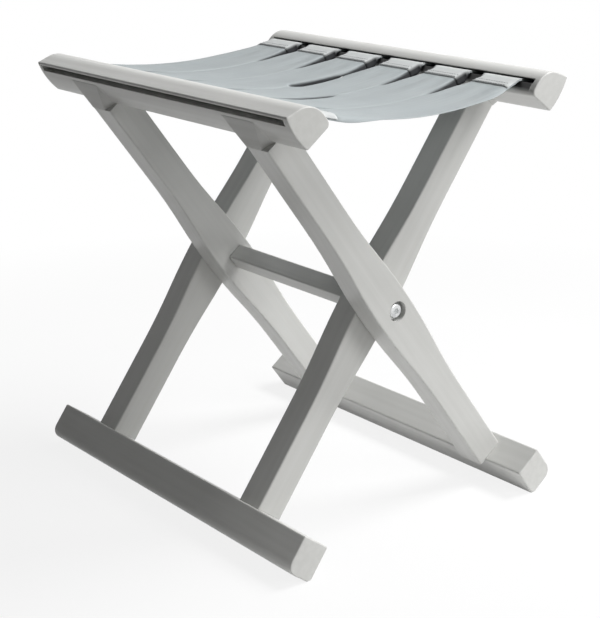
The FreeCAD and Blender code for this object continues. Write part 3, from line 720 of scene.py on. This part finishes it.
def webbing():
    """Plain weave: the product of a wave along and a wave across, with streaks in the warp and faded
    patches. One repeat of the weave is two threads."""
    material, tree, shader = new_material("strap_webbing")
    place = add_node(tree, "ShaderNodeUVMap", uv_map="weave").outputs[0]
    split = add_node(tree, "ShaderNodeSeparateXYZ", {0: place})
    turns = 2 * np.pi * REPEATS_PER_METRE
    warp = math_node(tree, "SINE", math_node(tree, "MULTIPLY", split.outputs[0], turns))
    weft = math_node(tree, "SINE", math_node(tree, "MULTIPLY", split.outputs[1], turns))
    weave = math_node(tree, "MULTIPLY", warp, weft)
    height = math_node(tree, "ADD", math_node(tree, "MULTIPLY", weave, 0.5), 0.5)
    drawn_out = mapped(tree, place, Scale=WARP_DRAWN)
    warp_streaks = remap(tree, noise(tree, drawn_out, WARP_CELLS, detail=3.0), *NOISE_SPAN)
    faded = remap(tree, noise(tree, place, FADED_CELLS, detail=2.0), *NOISE_SPAN)
    tone = weighted_sum(tree, (height, WEAVE_SHARE), (warp_streaks, WARP_SHARE), (faded, FADED_SHARE))
    colour = mix_colour(tree, tone, WEB_SHADE, WEB_LIGHT)
    hem = add_node(tree, "ShaderNodeAttribute", attribute_name="hem").outputs["Fac"]
    colour = mix_colour(tree, math_node(tree, "MULTIPLY", hem, HEM_SHARE), colour, WEB_HEM)
    # Painted shade on edges rolled down between bands, and a little painted shadow beyond each hem's end.
    painted_shade = add_node(tree, "ShaderNodeAttribute", attribute_name="painted_shade").outputs["Fac"]
    colour = mix_colour(tree, painted_shade, colour, CLOTH_SHADE_TONE)
    tree.links.new(colour, shader.inputs["Base Color"])
    relief = {"Strength": WEAVE_BUMP, "Distance": WEAVE_RELIEF, "Height": height}
    tree.links.new(add_node(tree, "ShaderNodeBump", relief).outputs[0], shader.inputs["Normal"])
    for name, value in WEB_FINISH.items():
        shader.inputs[name].default_value = value
    return material


def stitching_thread():
    """Grey twisted thread, finely mottled."""
    material, tree, shader = new_material("stitching_thread")
    twist = noise(tree, own_place(tree), TWIST_CELLS, detail=1.0)
    tree.links.new(mix_colour(tree, twist, THREAD_DARK, THREAD_LIGHT), shader.inputs["Base Color"])
    shader.inputs["Roughness"].default_value = THREAD_ROUGH
    return material


# %% Stitches along the hems
STITCH_PITCH = 3.3 * MM
STITCH_SIZE = np.array([0.8, 2.5, 0.5]) * MM
STITCH_UP = STITCH_SIZE[2] / 8
SEAM_INSETS = (2.0 * MM, 6.5 * MM)
BALL_ROUND = 8
BALL_RINGS = 5
BALL_TURN = 1.35


def stitch_ball():
    """One stitch as an ellipsoid: sines and cosines of two angles, scaled to its width, length and height,
    with three quads to close each end."""
    turn_one = np.linspace(0, 2 * np.pi, BALL_ROUND, endpoint=False)
    turn_two = np.linspace(-BALL_TURN, BALL_TURN, BALL_RINGS)
    one, two = np.meshgrid(turn_one, turn_two)
    ball = np.stack([np.cos(two) * np.cos(one), np.sin(two), np.cos(two) * np.sin(one)], -1)
    ring_start = np.arange(BALL_RINGS - 1)[:, None] * BALL_ROUND
    here = np.arange(BALL_ROUND)
    first = (ring_start + here).reshape(-1)
    following = (ring_start + (here + 1) % BALL_ROUND).reshape(-1)
    sides = np.stack([first, following, following + BALL_ROUND, first + BALL_ROUND], -1)
    low_cap = np.array([[3, 2, 1, 0], [7, 6, 5, 4], [4, 3, 0, 7]])
    high_cap = np.array([[0, 1, 2, 3], [4, 5, 6, 7], [3, 4, 7, 0]]) + (BALL_RINGS - 1) * BALL_ROUND
    return ball.reshape(-1, 3) * STITCH_SIZE / 2, np.concatenate([sides, low_cap, high_cap])


def stitch_arrays(line, number, middle_y):
    """Two rows of stitches across the flat part of each hem, set on its upper face along the normal."""
    ball, faces = stitch_ball()
    centres = []
    for turn, mirror in ((0, 1), (1, -1)):
        for inset in SEAM_INSETS:
            reach = np.array([[line.hem_end - inset]])
            half = half_width(reach, np.zeros(1), line, number, 1)[0, 0]
            count = 2 * int((half - ROLL_WIDE / 2) / STITCH_PITCH) + 1
            share = (np.arange(count) - count // 2)[None, :] * STITCH_PITCH / half
            at, _ = middle_surface(line, number, turn, reach, share)
            lift = LAYER_LIFT + BAND_THICK * (hem_thickness(reach, line)[0, 0] - 0.5) + STITCH_UP
            at = at + surface_normals(line, number, turn, reach, share) * lift
            centres.append(at[0] * (mirror, 1, 1) + (0, middle_y, 0))
    centres = np.concatenate(centres)
    points = centres[:, None, :] + ball
    all_faces = faces + np.arange(len(centres))[:, None, None] * len(ball)
    return points, all_faces.reshape(-1, 4)


# %% Make the straps
TUCK_DROP = 2.2 * MM
# The painted shadow beyond a hem's end: its length and its strength.
SEAM_WIDE = 5.0 * MM
SEAM_SHADE = 0.25
web = webbing()
thread = stitching_thread()


def mark_points(item, name, values):
    """Keeps one number per vertex on a mesh, for its material."""
    marks = item.data.attributes.new(name, "FLOAT", "POINT")
    marks.data.foreach_set("value", values.reshape(-1).astype(np.float32))


def shade_on_cloth(drop, beyond_hem, number):
    """Painted shade: full where an edge between two bands has rolled down far, and nothing on the seat's
    outer edges. The few millimetres of cloth beyond a hem's end get a little painted shadow as well."""
    share = smooth(drop / TUCK_DROP)
    if number == 0:
        share[:, across[0] < 0] = 0
    if number == STRAP_COUNT - 1:
        share[:, across[0] > 0] = 0
    # A painted shadow on the cloth just beyond each hem's end, fading over SEAM_WIDE.
    seam = SEAM_SHADE * (beyond_hem > 0) * (1 - smooth(beyond_hem / SEAM_WIDE))
    return np.maximum(share, seam[:, None])


for number in range(STRAP_COUNT):
    node = f"strap_{number + 1}"
    low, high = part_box(node)
    middle_y = (low[1] + high[1]) / 2
    share = number / (STRAP_COUNT - 1)
    line = StrapLine(DROOP[0] * (1 - share) + DROOP[1] * share)
    points, face, drop, on_hem = whole_band(line, number, middle_y)
    skin = band_skin(points, face)
    strap, faces = mesh_object(f"seat_band_{number + 1}", skin, grid_faces(*skin.shape[:2]), web)
    across_at, along_at = cloth_map(points)
    from_end = np.minimum(along_at, along_at[-1] - along_at)
    hem_length = from_end[on_hem > 0].max() + line.hem_end
    beyond_hem = from_end - hem_length
    uv = np.stack(np.broadcast_arrays(across_at[:, ring], along_at[:, None]), -1).reshape(-1, 2)
    layer = strap.data.uv_layers.new(name="weave")
    layer.data.foreach_set("uv", uv[faces.reshape(-1)].reshape(-1).astype(np.float32))
    mark_points(strap, "hem", np.repeat(on_hem, len(ring)))
    # The mark of painted shade, read by the webbing material.
    mark_points(strap, "painted_shade", shade_on_cloth(drop, beyond_hem, number)[:, ring])
    stitches, _ = mesh_object(f"seat_stitches_{number + 1}", *stitch_arrays(line, number, middle_y), thread)
    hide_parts(node)
    for piece in (strap, stitches):
        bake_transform(piece)
